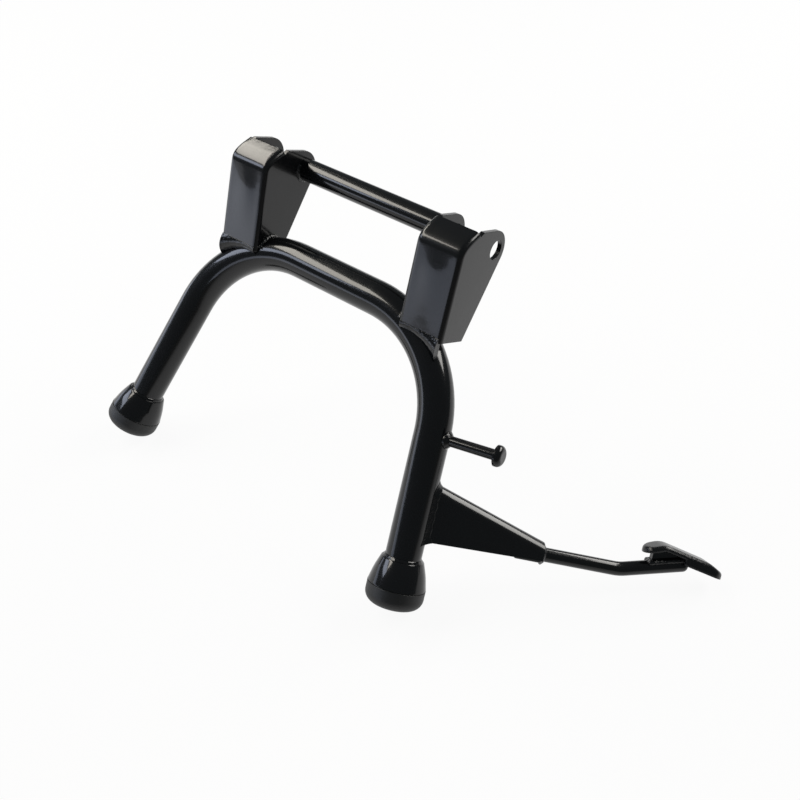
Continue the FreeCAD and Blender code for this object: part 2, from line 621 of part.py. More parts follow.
def slot_pocket(body, name, inset):
    """Cut away what lies outside a slot with round ends, seen from above."""
    plan = new_sketch(body, name, "XY_Plane")
    half = size["tread_width"] / 2 - size["tread_sheet"]
    near, far = size["tread_start"] + size["tread_width"], size["tread_end"] - size["tread_width"]
    front = plan.addGeometry(Part.LineSegment(Vector(near, -half, 0), Vector(far, -half, 0)), False)
    outer = plan.addGeometry(Part.Arc(
        Vector(far, -half, 0), Vector(far + half, 0, 0), Vector(far, half, 0)), False)
    rear = plan.addGeometry(Part.LineSegment(Vector(far, half, 0), Vector(near, half, 0)), False)
    inner = plan.addGeometry(Part.Arc(
        Vector(near, half, 0), Vector(near - half, 0, 0), Vector(near, -half, 0)), False)
    for line, arc, other in ((front, outer, rear), (rear, inner, front)):
        plan.addConstraint(Sketcher.Constraint("Tangent", line, 2, arc, 1))
        plan.addConstraint(Sketcher.Constraint("Tangent", arc, 2, other, 1))
        plan.addConstraint(Sketcher.Constraint("PointOnObject", arc, 3, -1))
    plan.addConstraint(Sketcher.Constraint("Horizontal", front))
    bind(plan, Sketcher.Constraint("Radius", outer, half), "Sizes.tread_width / 2 - " + inset)
    bind(plan, Sketcher.Constraint("DistanceX", -1, 1, inner, 3, near),
         "Sizes.tread_start + Sizes.tread_width / 2")
    bind(plan, Sketcher.Constraint("DistanceX", -1, 1, outer, 3, far),
         "Sizes.tread_end - Sizes.tread_width / 2")
    reach = size["tread_width"]
    corners = [Vector(size["tread_start"] - reach, -reach, 0), Vector(size["tread_end"] + reach, -reach, 0),
               Vector(size["tread_end"] + reach, reach, 0), Vector(size["tread_start"] - reach, reach, 0)]
    lines = [plan.addGeometry(Part.LineSegment(corners[k], corners[(k + 1) % 4]), False) for k in range(4)]
    for k in range(4):
        plan.addConstraint(Sketcher.Constraint("Coincident", lines[k], 2, lines[(k + 1) % 4], 1))
        plan.addConstraint(Sketcher.Constraint("Vertical" if k % 2 else "Horizontal", lines[k]))
    bind(plan, Sketcher.Constraint("DistanceX", -1, 1, lines[0], 1, 1),
         "Sizes.tread_start - Sizes.tread_width")
    bind(plan, Sketcher.Constraint("DistanceX", -1, 1, lines[0], 2, 1), "Sizes.tread_end + Sizes.tread_width")
    bind(plan, Sketcher.Constraint("DistanceY", lines[0], 1, -1, 1, 1), "Sizes.tread_width")
    bind(plan, Sketcher.Constraint("DistanceY", -1, 1, lines[2], 1, 1), "Sizes.tread_width")
    doc.recompute()
    cut = body.newObject("PartDesign::Pocket", name + "_cut")
    cut.Profile = plan
    cut.Type = "ThroughAll"
    cut.SideType = "Symmetric"
    doc.recompute()
    return cut


def tread_form(name, inset, underside):
    """The tread's outer form, or the same form set in by the sheet, for the hollow below."""
    body = new_body(name)
    outline = new_sketch(body, name + "_outline", "XZ_Plane")
    polygon(outline, [
        (SIDE_START, "Sizes.tread_start_rise - Sizes.plan_margin * " + START_SLOPE + " - " + inset),
        ("Sizes.tread_crest", "Sizes.tread_crest_rise - " + inset),
        ("Sizes.tread_knee", "Sizes.tread_knee_rise - " + inset),
        (SIDE_END, "Sizes.tread_end_rise - Sizes.plan_margin * " + END_SLOPE + " - " + inset),
    ] + underside)
    form = pad(body, outline, "Sizes.tread_width", midplane=True)
    lowered = 0.0 if inset == "0" else size["tread_sheet"]
    for corner in ("crest", "knee"):
        test = corner_edge(size["tread_" + corner], size["tread_%s_rise" % corner] - lowered)
        form = fillet(body, form, pick_edges(form, test), "Sizes.%s_bend - %s" % (corner, inset))
    return body, slot_pocket(body, name + "_plan", inset)


tread_solid, tread_slot = tread_form("tread_blank", "0", [
    (SIDE_END, "Sizes.rim_end_rise - Sizes.plan_margin * " + RIM_SLOPE),
    ("Sizes.rim_start", "Sizes.rim_start_rise"),
    ("Sizes.rim_start", SHALLOW_RIM + " - (Sizes.rim_start - Sizes.tread_crest) * " + CREST_SLOPE),
    ("Sizes.tread_crest", SHALLOW_RIM),
    (SIDE_START, SHALLOW_RIM + " - (Sizes.tread_crest - (%s)) * %s" % (SIDE_START, START_SLOPE)),
])
tread_hollow, _ = tread_form("tread_hollow", "Sizes.tread_sheet", [
    (SIDE_END, "-Sizes.tread_width"),
    (SIDE_START, "-Sizes.tread_width"),
])


def facing(face):
    """The upward part of a face's normal, at the middle of the face."""
    low_u, high_u, low_v, high_v = face.ParameterRange
    return face.normalAt((low_u + high_u) / 2, (low_v + high_v) / 2).z


top_edges = [edge for face in tread_slot.Shape.Faces if facing(face) > 0.15 for edge in face.Edges]
side_edges = [edge for face in tread_slot.Shape.Faces if abs(facing(face)) < 0.01 for edge in face.Edges]
fillet(tread_solid, tread_slot, pick_edges(
    tread_slot, lambda edge: any(edge.isSame(item) for item in top_edges)
    and any(edge.isSame(item) for item in side_edges)), "Sizes.rim_round")
tread_solid.Placement = pedal_local
tread_hollow.Placement = pedal_local
pedal_tread = trim("pedal_tread", tread_solid, [tread_hollow])

RIB_START = "(Sizes.arm_end - Sizes.rib_setback - Sizes.rib_length)"
RIB_END = "(Sizes.arm_end - Sizes.rib_setback)"
rib_end = size["arm_end"] - size["rib_setback"]
rib_start = rib_end - size["rib_length"]

CREST_MIDDLE = "Sizes.tread_crest_rise - Sizes.tread_sheet / 2"


rib_blank = new_body("tread_rib_blank")
rib_outline = new_sketch(rib_blank, "rib_outline", "XZ_Plane")
polygon(rib_outline, [
    (RIB_START, "Sizes.arm_dia * 0.8"),
    (RIB_START, "%s - (Sizes.tread_crest - %s) * %s" % (CREST_MIDDLE, RIB_START, START_SLOPE)),
    ("Sizes.tread_crest", CREST_MIDDLE),
    (RIB_END, "%s - (%s - Sizes.tread_crest) * %s" % (CREST_MIDDLE, RIB_END, CREST_SLOPE)),
    (RIB_END, "Sizes.arm_dia * 1.1"),
])
pad(rib_blank, rib_outline, "Sizes.rib_sheet", midplane=True)
rib_blank.Placement = pedal_local
tread_cutter = doc.addObject("Part::Feature", "tread_cutter")
tread_cutter.Shape = upright(pedal_tread)
tread_rib = trim("tread_rib", rib_blank, [arm_blank, tread_cutter])

# Welds at the brackets. Each bead lies between a sheet edge and the nearest point of the tube.

def nearest_on_tube(point):
    """The bent part's surface point nearest to a point, on the pedal's side."""
    radial = Vector(point.x - bend_centre.x, 0, point.z - bend_centre.z).normalize()
    axis_point = bend_centre + radial * size["bend_radius"]
    return axis_point + (point - axis_point).normalize() * tube_radius


def mirrored(stations, side):
    return [(Vector(side * point.x, point.y, point.z), radius) for point, radius in stations]


web_y = size["sheet"] / 2 - (size["tube_setback"] + tube_radius + size["web_proud"])
web_z = -(size["crossbar_drop"] + size["web_lap"])
inner_x = size["bracket_inner"] + size["sheet"]
outer_x = size["bracket_inner"] + size["bracket_width"] - size["sheet"] / 2
flange_rise = (size["web_lap"] - size["flange_lap"]) / (size["tube_od"] + size["web_proud"])
web_run = []
for k in range(6):
    share = k / 5
    foot = Vector(inner_x + share * (outer_x - inner_x), web_y, web_z)
    radius = size["weld_medium"] + share * (size["weld_large"] - size["weld_medium"])
    centre = (foot + nearest_on_tube(foot)) / 2 + Vector(0, -0.3, -0.3) * radius
    web_run.append((centre, radius))
flange_run = []
for reach in (web_y + size["sheet"], -size["tube_setback"] - 6, -size["tube_setback"], 0):
    foot = Vector(outer_x, reach, web_z + (reach - web_y) * flange_rise)
    surface = nearest_on_tube(foot)
    flange_run.append(((foot + surface) / 2, (foot - surface).Length / 2 + 1.6))

# The saddle bead follows the tube's outline on the bracket's inner face.
saddle_run = []
for k in range(9):
    angle = math.radians(-80 + 20 * k)
    across = tube_radius * math.sin(angle)
    outer = size["bend_radius"] + tube_radius * math.cos(angle)
    height = bend_centre.z + math.sqrt(outer ** 2 - (size["bracket_inner"] - bend_centre.x) ** 2)
    point = Vector(size["bracket_inner"] - 0.6, across - size["tube_setback"], height)
    saddle_run.append((point, size["weld_medium"] if k == 0 else size["weld_small"]))

for side, name in ((1, "left"), (-1, "right")):
    joined = [tube_envelope.Shape, upright(brackets[side])]
    weld(name + "_web_weld", [bead(mirrored(web_run, side)), bead(mirrored(flange_run, side))], joined)
    weld(name + "_flange_weld", [bead(mirrored(saddle_run, side))], joined)
    ring = turned(name + "_pivot_weld", [
        ("Sizes.pivot_od / 2", "0"),
        ("Sizes.pivot_od / 2 + Sizes.weld_small", "0"),
        ("Sizes.pivot_od / 2 + 1.4", "1.7"),
        ("Sizes.pivot_od / 2", "Sizes.weld_small"),
    ], sweep=PIVOT_WELD_ARC)
    inward = Rotation(Vector(0, 1, 0), -90 * side)
    start = Rotation(Vector(0, 0, 1), 80 if side > 0 else -100)
    place(ring, Placement(Vector(side * size["bracket_inner"], 0, 0), inward.multiply(start)))

# Welds at the pedal, in the arm's frame.

gusset_shape = upright(pedal_gusset)
arm_shape = upright(pedal_arm)
tread_shape = upright(pedal_tread)
rib_shape = upright(tread_rib)


wall_y = gusset_width / 2 + 0.4
wall_x = math.sqrt(tube_radius ** 2 - wall_y ** 2) + 0.4
ridge_slope = (size["gusset_root"] - size["gusset_tip"]) / size["gusset_length"]
ridge_z = size["gusset_root"] - ridge_slope * tube_radius
gusset_bead = straight_bead([
    Vector(wall_x, -wall_y, 0),
    Vector(wall_x, -wall_y, ridge_z - size["gusset_bend"]),
    Vector(tube_radius + 0.5, -wall_y / 2, ridge_z),
    Vector(tube_radius + 0.5, wall_y / 2, ridge_z),
    Vector(wall_x, wall_y, ridge_z - size["gusset_bend"]),
    Vector(wall_x, wall_y, 0),
], size["weld_fine"], pedal_local)
weld("gusset_weld", [gusset_bead], [tube_envelope.Shape, gusset_shape, arm_shape])

skirt_y = size["arm_dia"] / 2 + 0.8
skirt_z = -size["gusset_skirt"] - 1.2
for turn, name in ((-1, "front_skirt_weld"), (1, "rear_skirt_weld")):
    weld(name, [straight_bead([
        Vector(size["gusset_length"] - size["skirt_bead"], turn * skirt_y, skirt_z),
        Vector(size["gusset_length"] - 3, turn * skirt_y, skirt_z),
    ], size["weld_fine"] + 0.2, pedal_local)], [gusset_shape, arm_shape])
collar = turned("arm_weld", [
    ("Sizes.arm_dia / 2", "0"),
    ("Sizes.arm_dia / 2 + Sizes.gusset_sheet", "0"),
    ("Sizes.arm_dia / 2 + 1.7", "Sizes.weld_small - 0.6"),
    ("Sizes.arm_dia / 2", "Sizes.weld_small"),
])
place(collar, pedal_local.multiply(Placement(
    Vector(size["gusset_length"], 0, 0), Rotation(Vector(0, 1, 0), 90))))


def plate_height(reach):
    """The tread's underside above the arm's straight part, on either side of the crest."""
    foot, rise = ("start", "start_rise") if reach < size["tread_crest"] else ("knee", "knee_rise")
    drop = size["tread_crest_rise"] - size["tread_" + rise]
    slope = drop / abs(size["tread_" + foot] - size["tread_crest"])
    return size["tread_crest_rise"] - size["tread_sheet"] - abs(reach - size["tread_crest"]) * slope


rib_y = size["rib_sheet"] / 2 + 1.4
arm_top = math.sqrt((size["arm_dia"] / 2) ** 2 - rib_y ** 2)


def rib_bead(height):
    """A bead down both sides of the rib and across its inner edge, at a height over the arm's axis."""
    run = [rib_end + 0.6, size["tread_crest"], rib_start - 0.9]
    corners = [(reach, -rib_y) for reach in run] + [(reach, rib_y) for reach in reversed(run)]
    return [straight_bead([Vector(reach, across, height(reach)) for reach, across in corners],
                          size["weld_small"], pedal_local)]


weld("tread_weld", rib_bead(lambda reach: arm_height(reach) + arm_top + 0.9),
     [arm_shape, rib_shape, tread_shape])
weld("rib_weld", rib_bead(lambda reach: plate_height(reach) - 0.9),
     [rib_shape, tread_shape, arm_shape, upright(doc.getObject("tread_weld"))])

# Check every object, then write one file per piece.

NODES = [
    "main_tube", "left_bracket", "right_bracket", "pivot_tube",
    "left_foot_bell", "right_foot_bell", "left_foot_sole", "right_foot_sole",
    "spring_post", "pedal_gusset", "pedal_arm", "pedal_tread", "tread_rib",
    "left_web_weld", "right_web_weld", "left_flange_weld", "right_flange_weld",
    "left_pivot_weld", "right_pivot_weld", "left_foot_weld", "right_foot_weld",
    "spring_post_weld", "gusset_weld", "arm_weld", "front_skirt_weld", "rear_skirt_weld",
    "tread_weld", "rib_weld",
]
for item in doc.Objects:
    if "Invalid" in item.State or "Error" in item.State:
        raise RuntimeError("%s failed to build: %s" % (item.Name, item.State))
os.makedirs("parts", exist_ok=True)
for node in NODES:
    item = doc.getObject(node)
    shape = item.Shape
    if shape.isNull() or not shape.isValid() or len(shape.Solids) != 1:
        raise RuntimeError("%s isn't one valid solid" % node)
    shape.exportStep("parts/%s.step" % node)
    print("%-18s %9.0f mm3" % (node, shape.Volume))
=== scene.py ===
import math

import bmesh
import bpy
from mathutils import Matrix, Vector


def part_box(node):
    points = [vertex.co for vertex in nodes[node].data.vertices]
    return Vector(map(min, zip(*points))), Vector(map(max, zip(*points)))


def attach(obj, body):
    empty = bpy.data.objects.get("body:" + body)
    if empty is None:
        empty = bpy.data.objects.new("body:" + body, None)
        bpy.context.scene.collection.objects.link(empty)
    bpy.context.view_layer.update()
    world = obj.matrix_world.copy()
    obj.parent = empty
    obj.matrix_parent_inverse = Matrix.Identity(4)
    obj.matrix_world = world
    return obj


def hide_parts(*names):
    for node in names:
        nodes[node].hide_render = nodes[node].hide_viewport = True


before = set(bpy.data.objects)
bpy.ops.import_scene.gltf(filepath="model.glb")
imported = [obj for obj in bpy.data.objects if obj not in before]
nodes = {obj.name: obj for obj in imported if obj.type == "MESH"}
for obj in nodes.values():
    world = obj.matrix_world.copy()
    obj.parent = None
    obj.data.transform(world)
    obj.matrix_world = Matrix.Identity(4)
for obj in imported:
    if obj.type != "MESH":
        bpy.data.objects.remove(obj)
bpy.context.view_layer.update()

# Camera: the photograph's viewpoint in the row frame.

CAMERA_POSITION = Vector((0.45422, -0.55745, 0.39907))
CAMERA_RIGHT = Vector((0.78380, 0.62032, 0.02948))
CAMERA_DOWN = Vector((0.42916, -0.50672, -0.74770))
CAMERA_LENS = 40.58
SENSOR_WIDTH = 36

scene = bpy.context.scene
camera_data = bpy.data.cameras.new("camera")
camera_data.lens = CAMERA_LENS
camera_data.sensor_width = SENSOR_WIDTH
camera_data.clip_start = 0.01
camera = bpy.data.objects.new("camera", camera_data)
scene.collection.objects.link(camera)
right = CAMERA_RIGHT.normalized()
up = -CAMERA_DOWN
up = (up - right * up.dot(right)).normalized()
back = right.cross(up)
camera.matrix_world = Matrix((
    (right.x, up.x, back.x, CAMERA_POSITION.x),
    (right.y, up.y, back.y, CAMERA_POSITION.y),
    (right.z, up.z, back.z, CAMERA_POSITION.z),
    (0, 0, 0, 1),
))
scene.camera = camera


# Materials: black enamel that differs in gloss, orange peel and the ripple of its beads.

BLACK = (0.0040, 0.0043, 0.0050)
SATIN_BLACK = (0.012, 0.0125, 0.013)
PAINT_IOR = 1.5
BASE_SHINE = 0.5
SHINE_UNDER_COAT = 0.35
COAT_SHARE = 0.7
COAT_ROUGHNESS = 0.07
BEVEL_SAMPLES = 4
PAINT_EDGE = 0.0005
SHEET_EDGE = 0.0008
TREAD_EDGE = 0.0030

# Noise in the paint: its scale, its detail and its depth in metres.
SLOW_PEEL = (140, 2.0, 0.0006)
FINE_PEEL = (900, 1.0, 0.00008)
BEAD_RIPPLE = (420, 3.0, 0.0012)

# The change in gloss: its scale, its detail and the shares of the roughness that it runs between.
GLOSS_CLOUD = (30, 2.0)
GLOSS_RANGE = (0.75, 1.3)


def noise(tree, scale, detail):
    coords = tree.nodes.new("ShaderNodeTexCoord")
    texture = tree.nodes.new("ShaderNodeTexNoise")
    texture.inputs["Scale"].default_value = scale
    texture.inputs["Detail"].default_value = detail
    tree.links.new(coords.outputs["Object"], texture.inputs["Vector"])
    return texture.outputs["Fac"]


def stretch(tree, value, low, high):
    spread = tree.nodes.new("ShaderNodeMapRange")
    spread.inputs["To Min"].default_value = low
    spread.inputs["To Max"].default_value = high
    tree.links.new(value, spread.inputs["Value"])
    return spread.outputs["Result"]


def relief(tree, wave, strength, normal):
    """The normal with one of the paint's noises pressed into it."""
    scale, detail, depth = wave
    node = tree.nodes.new("ShaderNodeBump")
    node.inputs["Strength"].default_value = strength
    node.inputs["Distance"].default_value = depth
    tree.links.new(noise(tree, scale, detail), node.inputs["Height"])
    tree.links.new(normal, node.inputs["Normal"])
    return node.outputs["Normal"]


def paint(name, colour, roughness, coat, peel, ripple=0.0, edge=PAINT_EDGE):
    """Enamel with edges rounded by the paint, orange peel, beads' ripple and a slow change in gloss."""
    material = bpy.data.materials.new(name)
    material.use_nodes = True
    tree = material.node_tree
    shader = tree.nodes["Principled BSDF"]
    shader.inputs["Base Color"].default_value = (*colour, 1)
    shader.inputs["IOR"].default_value = PAINT_IOR
    shader.inputs["Specular IOR Level"].default_value = BASE_SHINE - SHINE_UNDER_COAT * coat
    shader.inputs["Coat Weight"].default_value = COAT_SHARE * coat
    shader.inputs["Coat Roughness"].default_value = COAT_ROUGHNESS
    soft = tree.nodes.new("ShaderNodeBevel")
    soft.samples = BEVEL_SAMPLES
    soft.inputs["Radius"].default_value = edge
    normal = relief(tree, SLOW_PEEL, peel, soft.outputs["Normal"])
    normal = relief(tree, FINE_PEEL, peel, normal)
    if ripple:
        normal = relief(tree, BEAD_RIPPLE, ripple, normal)
    tree.links.new(normal, shader.inputs["Normal"])
    tree.links.new(normal, shader.inputs["Coat Normal"])
    low, high = GLOSS_RANGE
    gloss_change = stretch(tree, noise(tree, *GLOSS_CLOUD), roughness * low, roughness * high)
    tree.links.new(gloss_change, shader.inputs["Roughness"])
    return material


# Each paint's name, colour, roughness, coat and orange peel.
gloss = paint("gloss_paint", BLACK, 0.20, 1.0, 0.05)
sheet = paint("sheet_paint", BLACK, 0.24, 0.8, 0.05, edge=SHEET_EDGE)
satin = paint("satin_paint", SATIN_BLACK, 0.42, 0.0, 0.2)
bead = paint("weld_paint", BLACK, 0.18, 0.9, 0.2, ripple=0.25)
lumpy = paint("lumpy_weld_paint", BLACK, 0.16, 0.9, 0.3, ripple=1.0)
tread = paint("tread_paint", BLACK, 0.26, 0.8, 0.1, edge=TREAD_EDGE)

SHEETS = ("left_bracket", "right_bracket", "pedal_gusset", "tread_rib")
SOLES = ("left_foot_sole", "right_foot_sole")
LUMPY = (
    "tread_weld",
    "rib_weld",
    "left_flange_weld",
    "right_flange_weld",
    "left_pivot_weld",
    "right_pivot_weld",
)


def paint_of(name):
    if name in LUMPY:
        return lumpy
    if name.endswith("_weld"):
        return bead
    if name == "pedal_tread":
        return tread
    if name in SOLES:
        return satin
    if name in SHEETS:
        return sheet
    return gloss


for name, node in nodes.items():
    node.data.materials.clear()
    node.data.materials.append(paint_of(name))


# Dressed pieces. Their outlines are in millimetres in the upright stand, which leans as a whole:
# X to the pedal's side, Y to the rear and Z up, from the middle of the pivot axis.

LEAN = math.radians(35.2)
SPLAY = math.radians(11.05)
SWING = math.radians(37.2)
TUBE_RADIUS = 15.9
BEND_RADIUS = 102.5
BEND_CENTRE = (45.1, -7.3, -180.4)
LEG_END = Vector((166.84, -7.3, -269.09))
SIDES = ((1, "left"), (-1, "right"))
SAME_POINT = 1e-7
SHEET_ANGLE = 32
BEAD_ANGLE = 60


def leaned(point):
    """A point of the upright stand in the row frame, in metres."""
    x, y, z = point
    return Vector((
        x,
        math.cos(LEAN) * y + math.sin(LEAN) * z,
        math.cos(LEAN) * z - math.sin(LEAN) * y,
    )) / 1000


def rounded(corners, steps):
    """An open outline through corners given as two coordinates and a radius."""
    points = []
    for k, (first, second, radius) in enumerate(corners):
        corner = Vector((first, second))
        if not radius:
            points.append(corner)
            continue
        before_it = (Vector(corners[k - 1][:2]) - corner).normalized()
        after_it = (Vector(corners[k + 1][:2]) - corner).normalized()
        half = before_it.angle(after_it) / 2
        middle = corner + (before_it + after_it).normalized() * radius / math.sin(half)
        run = radius / math.tan(half)
        start = corner + before_it * run - middle
        end = corner + after_it * run - middle
        angle = math.atan2(start.y, start.x)
        sweep = math.atan2(end.y, end.x) - angle
        sweep = (sweep + math.pi) % (2 * math.pi) - math.pi
        for j in range(steps + 1):
            turn = angle + sweep * j / steps
            points.append(middle + Vector((math.cos(turn), math.sin(turn))) * radius)
    return points


def waver(k, waves):
    """How much a hand-laid bead swells at its kth station, from a few waves of a height and a pace."""
    return sum(height * math.sin(k * pace) for height, pace in waves)


def circle(centre, first, second, radius, count):
    """Points round a centre, from the first axis towards the second."""
    points = []
    for k in range(count):
        turn = 2 * math.pi * k / count
        points.append(centre + first * (radius * math.cos(turn)) + second * (radius * math.sin(turn)))
    return points


def grid_faces(rows, width):
    """The faces of an open grid of points, row by row."""
    faces = []
    for row in range(rows - 1):
        for k in range(width - 1):
            a = row * width + k
            faces.append([a, a + 1, a + 1 + width, a + width])
    return faces


def rod_faces(rows, count):
    """The faces of a rod made of closed rings, and its two ends."""
    faces = [list(range(count)), list(range((rows - 1) * count, rows * count))]
    for row in range(rows - 1):
        for k in range(count):
            a = row * count + k
            b = row * count + (k + 1) % count
            faces.append([a, b, b + count, a + count])
    return faces


def solid_mesh(name, points, faces):
    mesh = bpy.data.meshes.new(name)
    mesh.from_pydata([leaned(point) for point in points], [], faces)
    work = bmesh.new()
    work.from_mesh(mesh)
    bmesh.ops.remove_doubles(work, verts=work.verts, dist=SAME_POINT)
    bmesh.ops.recalc_face_normals(work, faces=work.faces)
    work.to_mesh(mesh)
    work.free()
    piece = bpy.data.objects.new(name, mesh)
    scene.collection.objects.link(piece)
    return piece


def folded_sheet(name, outer, inner, faces):
    """A closed sheet between two sets of points that share their faces."""
    count = len(outer)
    edges = {}
    for face in faces:
        for a, b in zip(face, face[1:] + face[:1]):
            edges.setdefault((min(a, b), max(a, b)), []).append((a, b))
    rim = [found[0] for found in edges.values() if len(found) == 1]
    walls = [(b, a, a + count, b + count) for a, b in rim]
    backs = [[index + count for index in reversed(face)] for face in faces]
    return solid_mesh(name, list(outer) + list(inner), faces + backs + walls)


def ring_tool(name, centres, axes, radius, count=72):
    """A closed rod through centres, each with the two axes of its circle."""
    points = []
    for centre, (first, second) in zip(centres, axes):
        points += circle(centre, first, second, radius, count)
    return solid_mesh(name, points, rod_faces(len(centres), count))


def cut(piece, tools):
    """Takes the tools out of the piece, and removes them."""
    for tool in tools:
        modifier = piece.modifiers.new("cut", "BOOLEAN")
        modifier.object = tool
        modifier.operation = "DIFFERENCE"
        modifier.solver = "EXACT"
    graph = bpy.context.evaluated_depsgraph_get()
    mesh = bpy.data.meshes.new_from_object(piece.evaluated_get(graph))
    piece.modifiers.clear()
    piece.data = mesh
    for tool in tools:
        bpy.data.objects.remove(tool)


def dress(piece, material, node, smooth=SHEET_ANGLE):
    """Paints the piece, shades it smooth up to an angle, and puts it in the place of a node."""
    piece.data.materials.clear()
    piece.data.materials.append(material)
    for polygon in piece.data.polygons:
        polygon.use_smooth = True
    piece.data.set_sharp_from_angle(angle=math.radians(smooth))
    weighted = piece.modifiers.new("weighted", "WEIGHTED_NORMAL")
    weighted.keep_sharp = True
    weighted.weight = 100
    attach(piece, "root")
    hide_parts(node)


# Brackets: a slightly crowned web, a wide bend and a slightly bowed tab, between two folded flanges.

FLANGE_IN = 84.0
FLANGE_OUT = 129.0
FOLD = 4.6
BRACKET_SHEET = 4.0
CROWN = 0.8
CROWN_PEAK = 0.70
BORE_RADIUS = 8.5
BORE_REACH = (70, 140)

# Side view, as Y, Z and the corner's radius: up the web and over the tab, then the flange's free edge,
# which goes round the pivot's eye and down to its toe.
TAB_END = (-38.0, 7.9, 0)
WEB_AND_TAB = [(-26.6, -87.8, 0), (-53.0, -11.2, 13.5), (-46.8, -1.3, 48.0), TAB_END]
FREE_EDGE = [TAB_END, (-31.0, 9.3, 0), (16.5, 22.0, 19.0), (8.6, -81.6, 0)]

FOLD_STEPS = 7
WEB_COLUMNS = 14
WEB_ROWS = 18
BEND_STEPS = 12
EDGE_STEPS = 18
TUBE_STEP = 2
BEND_ANGLE = 90


def crown_at(share):
    """How far the web's middle stands out: a slow rise from its foot and a quicker fall to the bend."""
    if share >= 1:
        return 0.0
    if share < CROWN_PEAK:
        t = share / CROWN_PEAK
    else:
        t = (1 - share) / (1 - CROWN_PEAK)
    return CROWN * t * t * (3 - 2 * t)


def bracket_columns():
    """Across the bracket: X, drop below the web's face, outward direction and share of the crown."""
    fold = []
    for k in range(FOLD_STEPS + 1):
        turn = math.pi / 2 * k / FOLD_STEPS
        x = FLANGE_IN + FOLD - FOLD * math.cos(turn)
        fold.append((x, FOLD * math.sin(turn) - FOLD, -math.cos(turn), math.sin(turn), 0.0))
    span = FLANGE_OUT - FLANGE_IN - 2 * FOLD
    face = []
    for k in range(1, WEB_COLUMNS):
        share = k / WEB_COLUMNS
        face.append((FLANGE_IN + FOLD + span * share, 0.0, 0.0, 1.0, math.sin(math.pi * share) ** 2))
    mirror = FLANGE_IN + FLANGE_OUT
    other_fold = [(mirror - x, drop, -across, out, crown) for x, drop, across, out, crown in reversed(fold)]
    return fold + face + other_fold


def bracket_tube(side):
    """The main tube's bend, as a tool."""
    centres, axes = [], []
    middle = Vector((side * BEND_CENTRE[0], BEND_CENTRE[1], BEND_CENTRE[2]))
    for degrees in range(0, BEND_ANGLE + 1, TUBE_STEP):
        turn = math.radians(degrees)
        outwards = Vector((side * math.sin(turn), 0, math.cos(turn)))
        centres.append(middle + outwards * BEND_RADIUS)
        axes.append((outwards, Vector((0, 1, 0))))
    return ring_tool("tube_tool", centres, axes, TUBE_RADIUS)


def bracket_bore(side):
    """The pivot's bore, as a tool."""
    ends = [Vector((side * x, 0, 0)) for x in BORE_REACH]
    return ring_tool("bore_tool", ends, [(Vector((0, 1, 0)), Vector((0, 0, 1)))] * 2, BORE_RADIUS)


def bracket(side, name):
    bend = rounded(WEB_AND_TAB, BEND_STEPS)
    path = [bend[0].lerp(bend[1], k / WEB_ROWS) for k in range(WEB_ROWS)] + bend[1:]
    columns = bracket_columns()
    width = len(columns)
    outer, inner = [], []
    for k, point in enumerate(path):
        along_it = path[min(k + 1, len(path) - 1)] - path[max(k - 1, 0)]
        normal = Vector((-along_it.y, along_it.x)).normalized()
        raised = crown_at(k / (WEB_ROWS + 1))
        for x, drop, across, out, crown in columns:
            front = point + normal * (drop + raised * crown)
            rear = front - normal * (BRACKET_SHEET * out)
            outer.append((side * x, front.x, front.y))
            inner.append((side * (x - BRACKET_SHEET * across), rear.x, rear.y))
    faces = grid_faces(len(path), width)
    for column, x, inwards in ((0, FLANGE_IN, BRACKET_SHEET), (width - 1, FLANGE_OUT, -BRACKET_SHEET)):
        flange = [row * width + column for row in range(len(path))]
        for point in rounded(FREE_EDGE, EDGE_STEPS)[1:]:
            flange.append(len(outer))
            outer.append((side * x, point.x, point.y))
            inner.append((side * (x + inwards), point.x, point.y))
        faces.append(flange)
    piece = folded_sheet(name, outer, inner, faces)
    cut(piece, (bracket_bore(side), bracket_tube(side)))
    return piece


for side, name in SIDES:
    dress(bracket(side, name + "_bracket_dressed"), sheet, name + "_bracket")


# Welds at the webs' feet: a smooth fillet from the web's face down to the tube.

WEB_WELD_ROWS = 26
WEB_WELD_RING = 9
WEB_WELD_INSET = 2.2
WEB_WELD_TOP = (-28.3, -83.6)
WEB_WELD_BACK = (-23.6, -85.5)
WEB_WELD_LOW = -22.9
WEB_WELD_LOW_SHIFT = 3.2
WEB_WELD_SAG = 6.5
WEB_WELD_SAG_POWER = 1.6
WEB_WELD_SWELL = 0.76
WEB_WELD_SEAT = (3.0, 1.0)
WEB_WELD_UNEVEN = 0.1
WEB_WELD_WAVES = ((0.22, 1.9), (0.15, 0.83))


def tube_front(x, y):
    """A point on the front of the bent tube, above its axis."""
    reach = BEND_RADIUS + math.sqrt(TUBE_RADIUS ** 2 - (y - BEND_CENTRE[1]) ** 2)
    return Vector((x, y, BEND_CENTRE[2] + math.sqrt(reach ** 2 - (x - BEND_CENTRE[0]) ** 2)))


